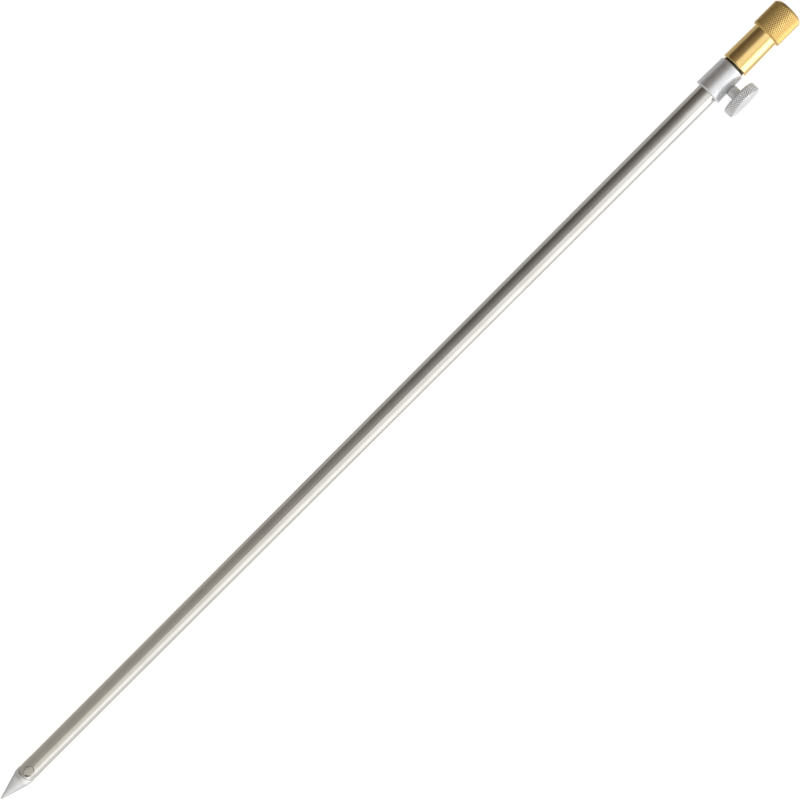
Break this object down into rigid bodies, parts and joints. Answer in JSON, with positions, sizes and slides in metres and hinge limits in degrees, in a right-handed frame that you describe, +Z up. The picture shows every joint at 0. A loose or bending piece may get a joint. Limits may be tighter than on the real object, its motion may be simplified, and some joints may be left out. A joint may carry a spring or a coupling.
{
  "type": "bank stick",
  "caption": "Telescopic bank stick: pointed steel tube, clamp collar with thumb screw, sliding and turning inner pole, knurled brass head with threaded socket.",
  "frame": {"origin": "tip of the ground point", "axes": "+Z up along the stick from the point to the head, +X from the stick's axis towards the thumb screw"},
  "size_m": [0.0288, 0.0216, 0.6914],
  "materials": {
    "tube_steel": "drawn stainless tube, lightly brushed along its length",
    "point_metal": "turned, satin",
    "collar_metal": "turned, satin, clear anodised",
    "bush_nylon": "black moulded nylon",
    "screw_metal": "turned and knurled, satin",
    "pad_nylon": "natural nylon",
    "pole_steel": "polished stainless tube",
    "plug_metal": "turned, plain",
    "sleeve_nylon": "natural nylon",
    "head_brass": "turned neck, diamond knurled grip"
  },
  "bodies": {
    "ground_pole": {"outer_tube": "tube_steel", "ground_point": "point_metal", "collar": "collar_metal", "collar_bush": "bush_nylon"},
    "guide": {"guide_sleeve": "sleeve_nylon"},
    "pole": {"inner_pole": "pole_steel", "pole_end_plug": "plug_metal", "rest_head": "head_brass"},
    "pad": {"clamp_pad": "pad_nylon"},
    "screw": {"thumb_screw": "screw_metal"}
  },
  "joints": [
    {"name": "pole_slide", "type": "slide", "parent": "ground_pole", "child": "guide", "axis": [0, 0, 1], "range_m": [0, 0.525]},
    {"name": "pole_turn", "type": "hinge", "parent": "guide", "child": "pole", "pos_m": [0, 0, 0.65], "axis": [0, 0, 1], "continuous": true},
    {"name": "pad_travel", "type": "slide", "parent": "ground_pole", "child": "pad", "axis": [1, 0, 0], "range_m": [0, 0.002]},
    {"name": "screw_turn", "type": "hinge", "parent": "pad", "child": "screw", "pos_m": [0.01, 0, 0.64], "axis": [1, 0, 0], "range_deg": [0, 720]}
  ],
  "couplings": [
    {"joint": "pad_travel", "follows": "screw_turn", "m_per_rad": 0.00015915}
  ]
}
